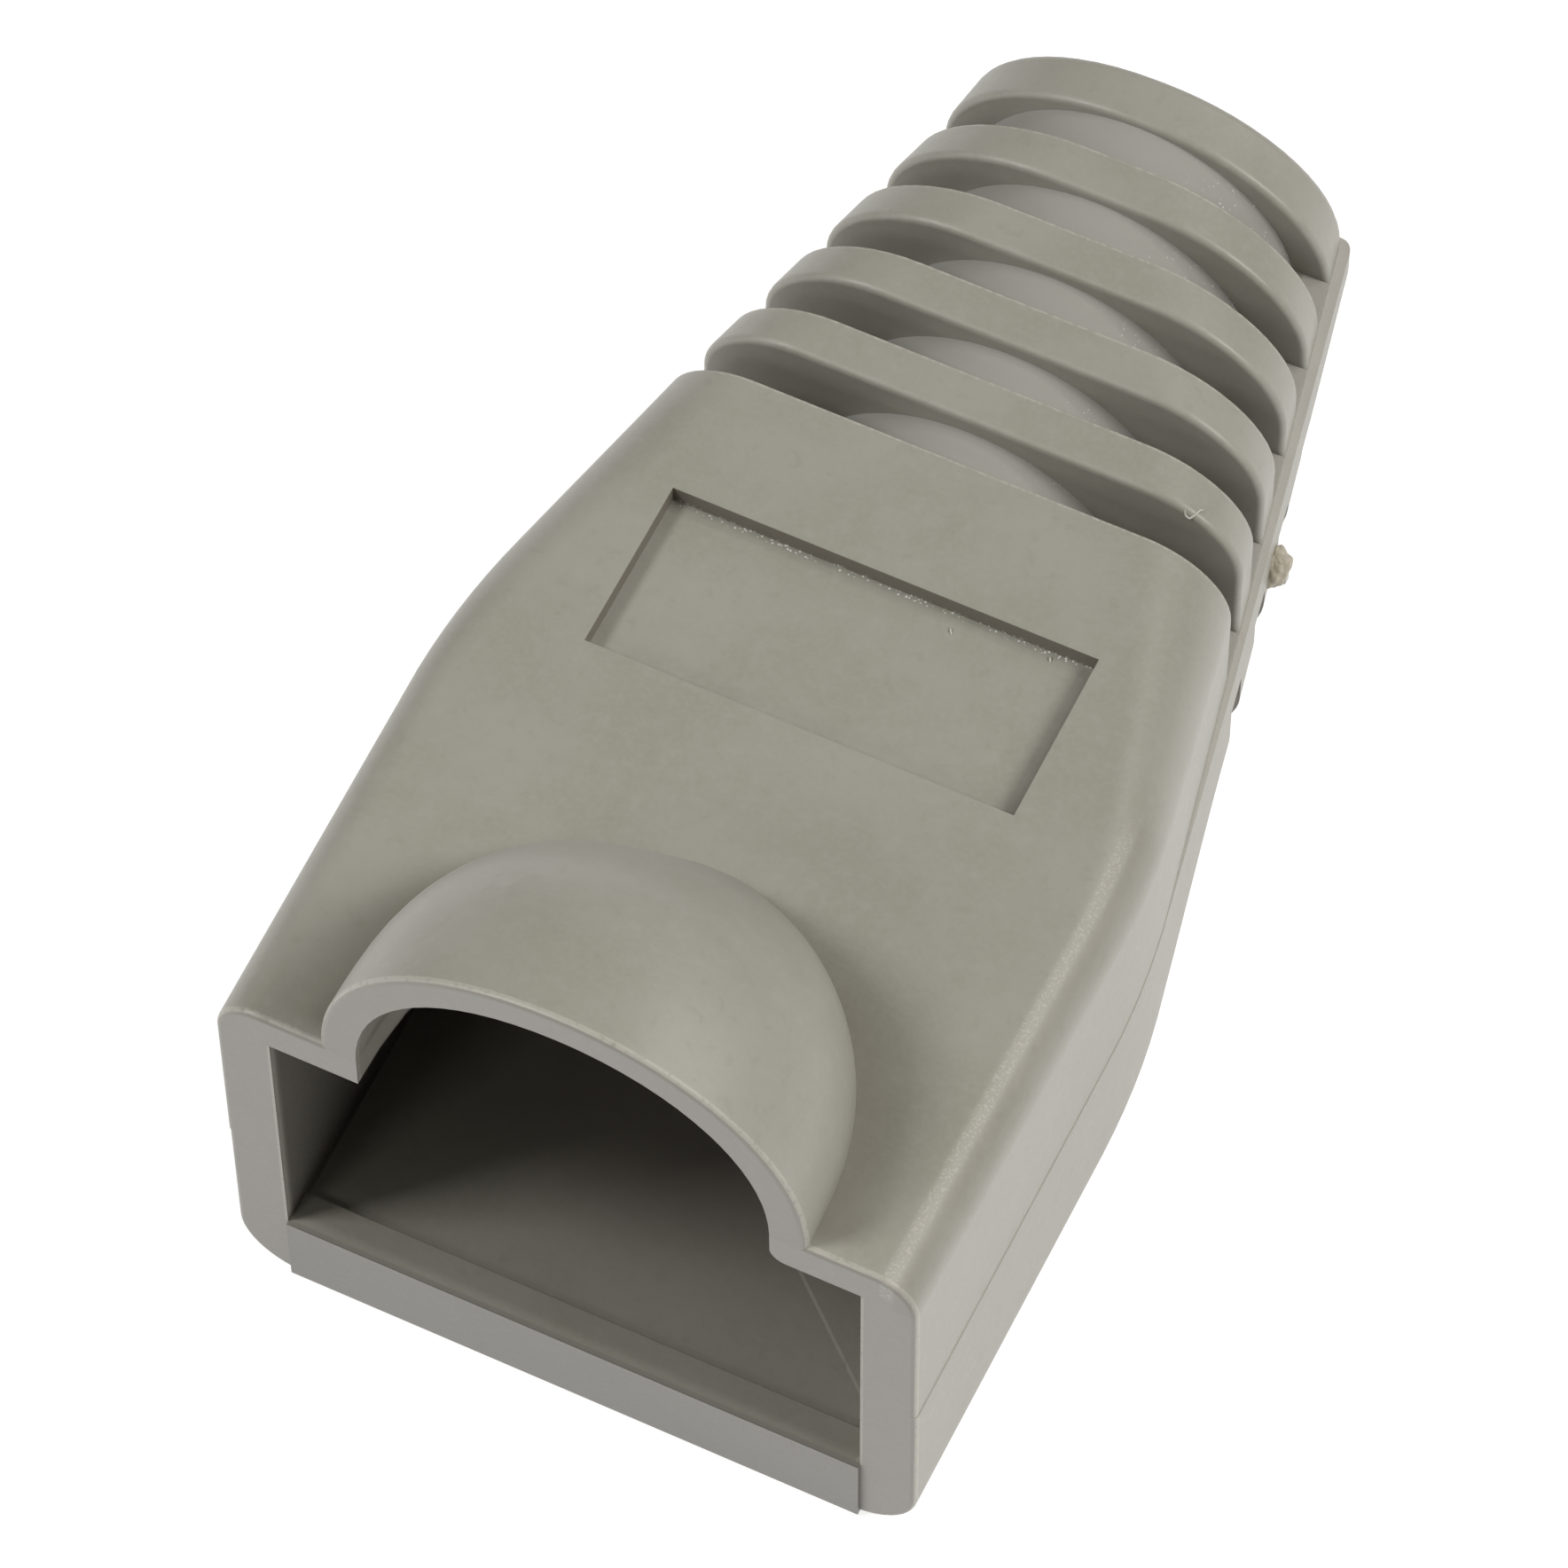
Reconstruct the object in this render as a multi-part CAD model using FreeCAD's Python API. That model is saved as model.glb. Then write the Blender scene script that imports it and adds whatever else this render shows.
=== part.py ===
import FreeCAD, Part
import math
import os

# Strain relief boot for an eight-way modular plug, one moulding in soft PVC.
# Millimetres. X is across the boot, Y runs from the plug mouth to the cable end, Z is up.
# While it is drawn, the mouth face is at Y = 0; at the end it is centred over its footprint.

# plug and pocket
plug_width = 11.68
plug_slack = 0.085
pocket_width = plug_width + 2 * plug_slack
pocket_depth = 11.6
pocket_floor = 1.8
lip_rise = 0.2
lip_length = 0.68
lip_stands_out = 0.08
lip_hem = 0.03

# outside of the body
side_wall = 1.105
roof_wall = 0.9
mouth_width = pocket_width + 2 * side_wall
mouth_height = 9.76
roof_fall = 0.0335
side_bulge = 0.011
side_taper = 0.2
side_bend_start = 8.3
side_bend_length = 3.4
floor_rise_start = 10.2

# corner radii of the cross section: across, then up, at the mouth and at both ends of the neck
top_corner_mouth = (0.85, 1.0)
low_corner_mouth = (1.35, 1.35)
neck_corner = (1.8, 1.7)
top_corner_tail = (4.2, 3.4)
low_corner_tail = (3.4, 3.6)
corner_share_of_wall = 0.97

# mould parting: level in front, climbing along the neck, where the lower half drifts to +X
parting_height = 4.8
parting_climb = 0.07
mismatch_mouth = 0.02
mismatch_neck = 0.13
mismatch_tail = 0.23

# cable and flexible neck
cable_bore_radius = 2.9
core_wall = 0.53
core_radius = cable_bore_radius + core_wall
core_height = 5.315
funnel_half_width = 4.6
funnel_half_height = 2.95
funnel_length = 3.0
funnel_end_share = 0.9
slot_count = 5
slot_start = 16.44
slot_pitch = 1.915
slot_width = 0.96
slot_sill = 0.25
last_rib = 1.18
overall_length = slot_start + (slot_count - 1) * slot_pitch + slot_width + last_rib
under_slot_width = 0.8
under_slot_sill = 1.1

# domed latch cover over the mouth
cover_half_width = 4.86
cover_height = 4.73
cover_length = 6.56
cover_wall = 0.74
cover_rear_wall = 0.96
cover_fullness = 0.58
cover_sink = 0.15
cover_spring_drop = 0.05
cover_foot_radius = 0.33

# how the cover narrows and comes down towards its rear: 1 less a power of the way, to a power
narrowing_powers = (2.7, 0.71)
lowering_powers = (3.3, 1.25)

# blank label recess
label_width = 8.75
label_length = 3.76
label_start = 9.85
label_depth = 0.42

# vestige of the moulding gate, on the lower side of the neck, on the rib behind this slot
gate_rib = 1
gate_drop = 1.43
gate_length = 0.46
gate_thickness = 0.52
gate_reach = 0.5
gate_corner = 0.16
gate_taper = 0.07

# edge softening of the moulding
rim_radius = 0.12
tail_radius = 0.22
rib_radius = 0.16

# how finely the curved forms are ruled off along the boot
rounding_steps = 4
bend_rows = 8
taper_rows = 5
cover_rows = 10
cover_last_row = 0.985

reach = 40.0
overlap = 0.5
quarter_round = 0.5523


def between(distance, stations, values):
    """Value at a distance, linear between named stations and level outside them."""
    if distance <= stations[0]:
        return values[0]
    for left, right, low, high in zip(stations, stations[1:], values, values[1:]):
        if distance <= right:
            return low + (high - low) * (distance - left) / (right - left)
    return values[-1]


def bent_line(distance, start, first_slope, second_slope, bend_start, bend_length):
    """A straight line that turns into another over a parabolic bend."""
    value = start + first_slope * distance
    inside = min(max(distance - bend_start, 0.0), bend_length)
    value += (second_slope - first_slope) * inside * inside / (2 * bend_length)
    value += (second_slope - first_slope) * max(distance - bend_start - bend_length, 0.0)
    return value


def spaced(start, end, count):
    """Evenly spaced distances, both ends included."""
    return [start + (end - start) * index / (count - 1) for index in range(count)]


def roof(distance):
    return mouth_height - roof_fall * distance


def half_width(distance):
    return bent_line(distance, mouth_width / 2, side_bulge, -side_taper, side_bend_start, side_bend_length)


def parting(distance):
    climb_start = side_bend_start + side_bend_length
    return parting_height + parting_climb * max(distance - climb_start, 0.0)


def underside(distance):
    """Flat in front, then a soft rise to the neck, where it mirrors the roof in the cable axis."""
    way = min(max((distance - floor_rise_start) / (slot_start - floor_rise_start), 0.0), 1.0)
    return way * way * (3 - 2 * way) * (2 * core_height - roof(distance))


def corner_size(distance, axis, at_mouth, at_tail, wall):
    """Radius of a corner along one axis, kept within the wall that carries it."""
    stations = (side_bend_start, slot_start, overall_length)
    size = between(distance, stations, (at_mouth[axis], neck_corner[axis], at_tail[axis]))
    return min(size, corner_share_of_wall * wall)


def quarter(centre, across, up, fullness=quarter_round):
    """Poles of a rounded quarter from centre + across to centre + up."""
    return [centre + across, centre + across + up * fullness, centre + up + across * fullness, centre + up]


def curve_edge(poles):
    """Bezier edge."""
    curve = Part.BezierCurve()
    curve.setPoles(poles)
    return curve.toShape()


def patch(band):
    """Face over two or three rows of poles: a plane where it has four corners, else a Bezier face."""
    if len(band) == 2 and len(band[0]) == 2:
        return Part.Face(Part.makePolygon([band[0][0], band[0][1], band[1][1], band[1][0], band[0][0]]))
    surface = Part.BezierSurface()
    surface.increase(len(band) - 1, len(band[0]) - 1)
    for along_index, poles in enumerate(band):
        for across_index, pole in enumerate(poles):
            surface.setPole(along_index + 1, across_index + 1, pole)
    return surface.toShape()


def bands(rows, curved_from):
    """Bands between rows of poles: ruled at first, then quadratic ones that join smoothly halfway."""
    found = [[first, second] for first, second in zip(rows[:curved_from], rows[1:curved_from + 1])]
    curved = rows[curved_from:]

    def halfway(index):
        return [(first + second) * 0.5 for first, second in zip(curved[index], curved[index + 1])]

    for index in range(1, len(curved) - 1):
        start = curved[0] if index == 1 else halfway(index - 1)
        end = curved[-1] if index == len(curved) - 2 else halfway(index)
        found.append([start, curved[index], end])
    return found


def skin(rows, curved_from=None):
    """Closed solid over rows of outlines. A row is a loop of strips, a strip the poles of a Bezier curve.

    Bands are ruled from row to row, and curved along the boot from the row named.
    """
    if curved_from is None:
        curved_from = len(rows) - 1
    faces = []
    for index in range(len(rows[0])):
        faces += [patch(band) for band in bands([row[index] for row in rows], curved_from)]
    for row in (rows[0], rows[-1]):
        faces.append(Part.Face(Part.Wire([curve_edge(strip) for strip in row])))
    shell = Part.makeShell(faces)
    shell.sewShape()
    solid = Part.makeSolid(shell)
    if solid.Volume < 0:
        solid.reverse()
    return solid


def upper_row(distance, inset=0.0):
    """Outline of the roof half, above the parting plane."""
    split = parting(distance)
    across = corner_size(distance, 0, top_corner_mouth, top_corner_tail, half_width(distance)) - inset
    up = corner_size(distance, 1, top_corner_mouth, top_corner_tail, roof(distance) - split) - inset
    side = half_width(distance) - inset
    top = roof(distance) - inset

    def point(x, z):
        return FreeCAD.Vector(x, distance, z)

    right = FreeCAD.Vector(across, 0, 0)
    rise = FreeCAD.Vector(0, 0, up)
    return [
        [point(-side, split), point(side, split)],
        [point(side, split), point(side, top - up)],
        quarter(point(side - across, top - up), right, rise),
        [point(side - across, top), point(across - side, top)],
        quarter(point(across - side, top - up), rise, -right),
        [point(-side, top - up), point(-side, split)],
    ]


def lower_row(distance, inset=0.0):
    """Outline of the floor half, below the parting plane, with the mismatch of the mould."""
    split = parting(distance)
    stations = (side_bend_start + side_bend_length, slot_start, overall_length)
    shift = between(distance, stations, (mismatch_mouth, mismatch_neck, mismatch_tail))
    across = corner_size(distance, 0, low_corner_mouth, low_corner_tail, half_width(distance)) - inset
    down = corner_size(distance, 1, low_corner_mouth, low_corner_tail, split - underside(distance)) - inset
    side = half_width(distance) - inset
    bottom = underside(distance) + inset

    def point(x, z):
        return FreeCAD.Vector(x + shift, distance, z)

    right = FreeCAD.Vector(across, 0, 0)
    drop = FreeCAD.Vector(0, 0, -down)
    return [
        [point(side, split), point(-side, split)],
        [point(-side, split), point(-side, bottom + down)],
        quarter(point(across - side, bottom + down), -right, drop),
        [point(across - side, bottom), point(side - across, bottom)],
        quarter(point(side - across, bottom + down), drop, right),
        [point(side, bottom + down), point(side, split)],
    ]


def ledge_row(distance):
    """Outline of the band between the parting plane and the floor of a slot."""
    side = half_width(distance)
    low = parting(distance)
    corners = [
        FreeCAD.Vector(-side, distance, low),
        FreeCAD.Vector(side, distance, low),
        FreeCAD.Vector(side, distance, low + slot_sill),
        FreeCAD.Vector(-side, distance, low + slot_sill),
    ]
    return [[corner, corners[(index + 1) % 4]] for index, corner in enumerate(corners)]


def soft_start(row, distance, radius):
    """Rows that round the leading edge of a form."""
    rows = []
    for angle in spaced(0.0, math.pi / 2, rounding_steps + 1):
        rows.append(row(distance + radius * (1 - math.cos(angle)), radius * (1 - math.sin(angle))))
    return rows


def soft_end(row, distance, radius):
    """Rows that round the trailing edge of a form."""
    rows = []
    for angle in spaced(math.pi / 2, 0.0, rounding_steps + 1):
        rows.append(row(distance - radius * (1 - math.cos(angle)), radius * (1 - math.sin(angle))))
    return rows


def slab(x_size, start, length, low, high):
    """Box centred across the boot."""
    return Part.makeBox(x_size, length, high - low, FreeCAD.Vector(-x_size / 2, start, low))


def along(radius, start, end):
    """Cylinder on the cable axis."""
    base = FreeCAD.Vector(0, start, core_height)
    return Part.makeCylinder(radius, end - start, base, FreeCAD.Vector(0, 1, 0))


def slot_distance(index):
    return slot_start + index * slot_pitch


def shoulder_distances():
    """Where the body is ruled off from the end of its straight sides to the end of their bend."""
    return spaced(side_bend_start, side_bend_start + side_bend_length, bend_rows)


def front_block():
    """Roof half from the mouth to the first slot."""
    distances = shoulder_distances()
    distances += spaced(distances[-1], slot_start, taper_rows)[1:]
    rows = soft_start(upper_row, 0.0, rim_radius)
    return skin(rows + [upper_row(distance) for distance in distances])


def ribs():
    """Roof half of each rib, with a soft leading edge; the last one ends in the soft tail."""
    found = []
    for index in range(slot_count):
        rows = soft_start(upper_row, slot_distance(index) + slot_width, rib_radius)
        if index < slot_count - 1:
            rows.append(upper_row(slot_distance(index + 1)))
        else:
            rows += soft_end(upper_row, overall_length, tail_radius)
        found.append(skin(rows))
    return found


def ledges():
    """Side spine under each slot of the roof half, up to the floor of the slot."""
    starts = [slot_distance(index) for index in range(slot_count)]
    return [skin([ledge_row(start), ledge_row(start + slot_width)]) for start in starts]


def lower_half():
    """Floor half of the moulding: narrower slots from below, under those of the roof half."""
    distances = shoulder_distances()
    distances += spaced(distances[-1], slot_start, bend_rows)[1:]
    distances += spaced(distances[-1], overall_length - tail_radius, taper_rows)[1:-1]
    rows = soft_start(lower_row, 0.0, rim_radius)
    rows += [lower_row(distance) for distance in distances]
    half = skin(rows + soft_end(lower_row, overall_length, tail_radius))
    for index in range(slot_count):
        start = slot_distance(index) + (slot_width - under_slot_width) / 2
        half = half.cut(slab(reach, start, under_slot_width, -reach, parting(start) - under_slot_sill))
    return half


def arch_row(distance, half, height, root):
    """Outline of an arch on the roof, with straight sides down to a foot inside the roof wall."""
    spring = roof(distance) + min(height, 0.0) - cover_spring_drop
    foot = roof(distance) - root

    def point(x, z):
        return FreeCAD.Vector(x, distance, z)

    right = FreeCAD.Vector(half, 0, 0)
    rise = FreeCAD.Vector(0, 0, roof(distance) + height - spring)
    return [
        [point(-half, foot), point(half, foot)],
        [point(half, foot), point(half, spring)],
        quarter(point(0, spring), right, rise, cover_fullness),
        quarter(point(0, spring), rise, -right, cover_fullness),
        [point(-half, spring), point(-half, foot)],
    ]


def space_row(distance, half, height):
    """Outline of the hollow under the cover; its +X foot opens into the pocket over a rounded corner."""
    rows = arch_row(distance, half, height, roof_wall + overlap)
    foot = rows[0][0].z
    ceiling = roof(distance) - roof_wall
    corner = FreeCAD.Vector(half + cover_foot_radius, distance, ceiling + cover_foot_radius)
    out = FreeCAD.Vector(cover_foot_radius, 0, 0)
    down = FreeCAD.Vector(0, 0, -cover_foot_radius)
    low_corner = FreeCAD.Vector(corner.x, distance, foot)
    inner = corner - out
    return [
        [rows[0][0], low_corner],
        [low_corner, corner + down],
        quarter(corner, down, -out),
        [inner, rows[1][1]],
    ] + rows[2:]


def dome_rows(row, half, height, length):
    """Outlines that shrink towards the rear until the dome dives under the roof."""
    rows = []
    last_angle = math.asin(cover_last_row)
    for index in range(1, cover_rows):
        station = math.sin(last_angle * index / (cover_rows - 1))
        narrowing = (1 - station ** narrowing_powers[0]) ** narrowing_powers[1]
        lowering = (1 - station ** lowering_powers[0]) ** lowering_powers[1]
        rise = (height + cover_sink) * lowering - cover_sink
        rows.append(row(station * length, half * narrowing, rise))
    return rows


def latch_cover():
    """Dome over the latch, its mouth edge rounded like the rim of the body."""
    root = roof_wall - cover_sink

    def mouth_row(distance, inset):
        return arch_row(distance, cover_half_width - inset, cover_height - inset, root - inset)

    def dome_row(distance, half, height):
        return arch_row(distance, half, height, root)

    rows = soft_start(mouth_row, 0.0, rim_radius)
    return skin(rows + dome_rows(dome_row, cover_half_width, cover_height, cover_length), len(rows) - 1)


def latch_space():
    """Hollow under the cover, open to the plug pocket below and at the mouth."""
    half = cover_half_width - cover_wall
    height = cover_height - cover_wall
    rows = [space_row(distance, half, height) for distance in (-overlap, rim_radius)]
    return skin(rows + dome_rows(space_row, half, height, cover_length - cover_rear_wall))


def plug_pocket():
    """Rectangular pocket for the plug, its roof level with the sloping wall above it."""
    section = Part.makePolygon([
        FreeCAD.Vector(-pocket_width / 2, -overlap, pocket_floor),
        FreeCAD.Vector(-pocket_width / 2, pocket_depth, pocket_floor),
        FreeCAD.Vector(-pocket_width / 2, pocket_depth, roof(pocket_depth) - roof_wall),
        FreeCAD.Vector(-pocket_width / 2, -overlap, roof(-overlap) - roof_wall),
        FreeCAD.Vector(-pocket_width / 2, -overlap, pocket_floor),
    ])
    return Part.Face(section).extrude(FreeCAD.Vector(pocket_width, 0, 0))


def oval_row(distance, across, up):
    """Oval round the cable axis."""
    centre = FreeCAD.Vector(0, distance, core_height)
    right = FreeCAD.Vector(across, 0, 0)
    rise = FreeCAD.Vector(0, 0, up)
    return [
        quarter(centre, right, rise),
        quarter(centre, rise, -right),
        quarter(centre, -right, -rise),
        quarter(centre, -rise, right),
    ]


def funnel():
    """Oval funnel from the back of the pocket into the cable bore."""
    wide = oval_row(pocket_depth - overlap, funnel_half_width, funnel_half_height)
    inside_bore = funnel_end_share * cable_bore_radius
    narrow = oval_row(pocket_depth + funnel_length, inside_bore, inside_bore)
    return skin([wide, narrow])


def cable_bore():
    return along(cable_bore_radius, pocket_depth + overlap, overall_length + overlap)


def label_recess():
    """Blank shallow rectangle, its floor level with the sloping roof."""
    left = -label_width / 2
    end = label_start + label_length
    section = Part.makePolygon([
        FreeCAD.Vector(left, label_start, roof(label_start) - label_depth),
        FreeCAD.Vector(left, end, roof(end) - label_depth),
        FreeCAD.Vector(left, end, roof(end) + overlap),
        FreeCAD.Vector(left, label_start, roof(label_start) + overlap),
        FreeCAD.Vector(left, label_start, roof(label_start) - label_depth),
    ])
    return Part.Face(section).extrude(FreeCAD.Vector(label_width, 0, 0))


def retaining_lip():
    """Low bar across the front of the pocket floor, a hair proud of the mouth face."""
    return slab(pocket_width, -lip_stands_out, lip_stands_out + lip_length, lip_hem, pocket_floor + lip_rise)


def gate_vestige():
    """Torn stub of the moulding gate, on the +X side of a rib of the lower half, narrower at its tip."""
    distance = slot_distance(gate_rib) + slot_width / 2 + slot_pitch / 2
    height = parting(distance) - gate_drop
    tip = half_width(distance) + gate_reach
    steps = (
        (half_width(distance) - overlap, 0.0),
        (tip - gate_corner, gate_taper),
        (tip, gate_corner),
    )
    stub = []
    for x, inset in steps:
        length = gate_length / 2 - inset
        thickness = gate_thickness / 2 - inset
        corners = [
            FreeCAD.Vector(x, distance - length, height - thickness),
            FreeCAD.Vector(x, distance + length, height - thickness),
            FreeCAD.Vector(x, distance + length, height + thickness),
            FreeCAD.Vector(x, distance - length, height + thickness),
        ]
        stub.append([[corner, corners[(index + 1) % 4]] for index, corner in enumerate(corners)])
    return skin(stub)


def strain_relief_boot():
    core = along(core_radius, slot_start - overlap, overall_length - overlap)
    body = front_block().fuse(ribs() + ledges() + [core, lower_half(), latch_cover()])
    body = body.cut([plug_pocket(), latch_space(), funnel(), cable_bore(), label_recess()])
    body = body.fuse([retaining_lip(), gate_vestige()]).removeSplitter().Solids[0]
    body.translate(FreeCAD.Vector(0, -overall_length / 2, 0))
    return body


def main():
    os.makedirs("parts", exist_ok=True)
    boot = strain_relief_boot()
    print("boot: valid", boot.isValid(), "solids", len(boot.Solids), "faces", len(boot.Faces))
    print("boot: volume", round(boot.Volume, 1), "box", boot.BoundBox)
    boot.exportStep("parts/strain_relief_boot.step")


main()
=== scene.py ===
import math
from types import SimpleNamespace

import bmesh
import bpy
import numpy as np
from mathutils import Matrix, Vector


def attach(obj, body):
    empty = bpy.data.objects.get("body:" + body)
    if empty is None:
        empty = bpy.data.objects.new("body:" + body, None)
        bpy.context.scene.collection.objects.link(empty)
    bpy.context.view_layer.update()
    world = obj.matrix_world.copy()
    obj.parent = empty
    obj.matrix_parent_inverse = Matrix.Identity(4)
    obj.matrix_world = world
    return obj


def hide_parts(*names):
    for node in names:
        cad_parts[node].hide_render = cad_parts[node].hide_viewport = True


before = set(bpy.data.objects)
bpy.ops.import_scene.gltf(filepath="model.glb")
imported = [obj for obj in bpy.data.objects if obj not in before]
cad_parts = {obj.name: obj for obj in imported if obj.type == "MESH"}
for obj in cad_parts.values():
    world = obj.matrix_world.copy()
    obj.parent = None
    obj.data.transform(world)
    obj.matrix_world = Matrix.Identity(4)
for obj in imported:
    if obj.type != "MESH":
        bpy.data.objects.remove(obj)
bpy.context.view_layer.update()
mm = 0.001
print("frame loaded")


# one small class for shader maths: a socket with the usual operators
class Sock:
    def __init__(self, tree, out):
        self.tree, self.out = tree, out

    def math(self, operation, *others, flip=False):
        terms = [self] + list(others)
        if flip:
            terms = terms[::-1]
        return self.tree.node("ShaderNodeMath", {"operation": operation}, dict(enumerate(terms)))

    def __add__(self, other): return self.math("ADD", other)
    def __radd__(self, other): return self.math("ADD", other)
    def __sub__(self, other): return self.math("SUBTRACT", other)
    def __rsub__(self, other): return self.math("SUBTRACT", other, flip=True)
    def __mul__(self, other): return self.math("MULTIPLY", other)
    def __rmul__(self, other): return self.math("MULTIPLY", other)
    def __truediv__(self, other): return self.math("DIVIDE", other)
    def __pow__(self, other): return self.math("POWER", other)

    def above(self, low, high):  # 0 below low, 1 above high, a soft step between
        return self.tree.node("ShaderNodeMapRange", {"interpolation_type": "SMOOTHSTEP"},
                              {"Value": self, "From Min": low, "From Max": high})

    def band(self, low, high, soft):  # 1 between low and high, fading over soft outside
        return self.above(low - soft, low) * (1 - self.above(high, high + soft))

    def size(self): return self.math("ABSOLUTE")
    def root(self): return self.math("SQRT")
    def clip(self): return self.math("MINIMUM", 1.0)
    def positive(self): return self.math("MAXIMUM", 0.0)


# a material's node tree, and the few kinds of node that the finishes here are made of
class Tree:
    def __init__(self, name):
        self.material = bpy.data.materials.new(name)
        self.material.use_nodes = True
        self.nodes = self.material.node_tree.nodes
        self.links = self.material.node_tree.links
        self.nodes.clear()

    # any node: its type, its settings, then the values or links of its sockets
    def node(self, kind, settings, sockets, out=0):
        made = self.nodes.new(kind)
        for name, value in settings.items():
            setattr(made, name, value)
        for name, value in sockets.items():
            if isinstance(value, Sock):
                self.links.new(value.out, made.inputs[name])
            else:
                made.inputs[name].default_value = value
        if isinstance(out, tuple):
            return [Sock(self, made.outputs[index]) for index in out]
        return Sock(self, made.outputs[out]) if made.outputs else None

    # a texture coordinate: the place or the normal, in the object's own axes
    def coordinate(self, name):
        return self.node("ShaderNodeTexCoord", {}, {}, name)

    def split(self, vector):
        return self.node("ShaderNodeSeparateXYZ", {}, {"Vector": vector}, (0, 1, 2))

    # cloudy noise with features about size across
    def noise(self, place, size, detail, roughness=0.5):
        return self.node("ShaderNodeTexNoise", {}, {"Vector": place, "Scale": 1 / size, "Detail": detail,
                                                    "Roughness": roughness})

    # small round dots, about size across, on a share of the cells
    def dots(self, place, size, share, wide):
        near, tone = self.node("ShaderNodeTexVoronoi", {}, {"Vector": place, "Scale": 1 / (2 * size)}, (0, 1))
        picked = self.node("ShaderNodeSeparateColor", {}, {"Color": tone}).above(1 - share - 0.01, 1 - share)
        return (1 - near.above(wide * 0.4, wide)) * picked

    def mix(self, factor, first, second):
        return self.node("ShaderNodeMix", {"data_type": "RGBA"}, {0: factor, 6: first, 7: second}, 2)

    def bump(self, height, distance, strength, under=None):
        sockets = {"Height": height, "Distance": distance, "Strength": strength}
        if under:
            sockets["Normal"] = under
        return self.node("ShaderNodeBump", {}, sockets)

    # the closing shader and output of a finish
    def surface(self, sockets):
        shade = self.node("ShaderNodeBsdfPrincipled", {}, sockets)
        self.node("ShaderNodeOutputMaterial", {}, {"Surface": shade})
        return self.material


boot = {  # millimetres, measured from the mouth face, as the form is drawn
    "node": "strain_relief_boot",
    "length": 26.24,
    "halfWidth": 7.03, "bulge": 0.011, "taper": 0.2,  # half width at the mouth, slope before and after the bend
    "bendStart": 8.3, "bendLength": 3.4,
    "top": 9.76, "roofFall": 0.0335, "roofWall": 0.9, "floorRise": 10.2,
    "parting": (4.8, 0.07, 11.7),  # height in front, climb per millimetre, where the climb starts
    "mismatch": ((11.7, 16.44, 26.24), (0.02, 0.13, 0.23)),  # places along, how far the lower half is off to +X
    "stations": (8.3, 16.44, 26.24),  # where the corner sizes of the next four are given
    "topAcross": (0.85, 1.8, 4.2), "topUp": (1.0, 1.7, 3.4),
    "lowAcross": (1.35, 1.8, 3.4), "lowUp": (1.35, 1.7, 3.6),
    "wallShare": 0.97,  # the most of a wall that a corner takes
    "rim": 0.12, "tail": 0.22, "nose": 0.16,  # softening of the mouth, the cable end and each rib's front edge
    "pocket": (5.925, 1.8, 8.86, 11.6, 0.68),  # half width, floor, ceiling, depth, length of the lip
    "neckStart": 16.44, "slots": 5, "pitch": 1.915, "slotWidth": 0.96, "sill": 0.25,
    "core": (5.315, 3.43, 2.9),  # height of the cable axis, radius of the core, radius of the bore
    "cover": (4.86, 4.73, 6.56), "coverSpace": (4.12, 3.99, 5.60),  # half width, height, length
    "coverSink": 0.15, "coverSpring": 0.05, "coverPower": 2.09,
    "narrowing": (2.7, 0.71), "lowering": (3.3, 1.25),  # powers of the cover's outline towards the rear
    "foot": 0.33, "footHeight": (8.5, 9.5), "boreFrom": 11.0,
    "label": (9.85, 3.76, 4.375, 0.42),  # start, length, half width, depth
}
boot["ribs"] = [boot["neckStart"] + boot["slotWidth"] + boot["pitch"] * count for count in range(boot["slots"])]

# how the true normals are matched to the mesh: weld distance in metres, then the farthest that a skin may lie
# off its form in millimetres, the least agreement of its slope, and the small step that slopes are taken over
matching = {"weld": 2e-8, "near": 0.03, "facing": 0.86, "step": 1e-4, "tiny": 1e-12}


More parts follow.
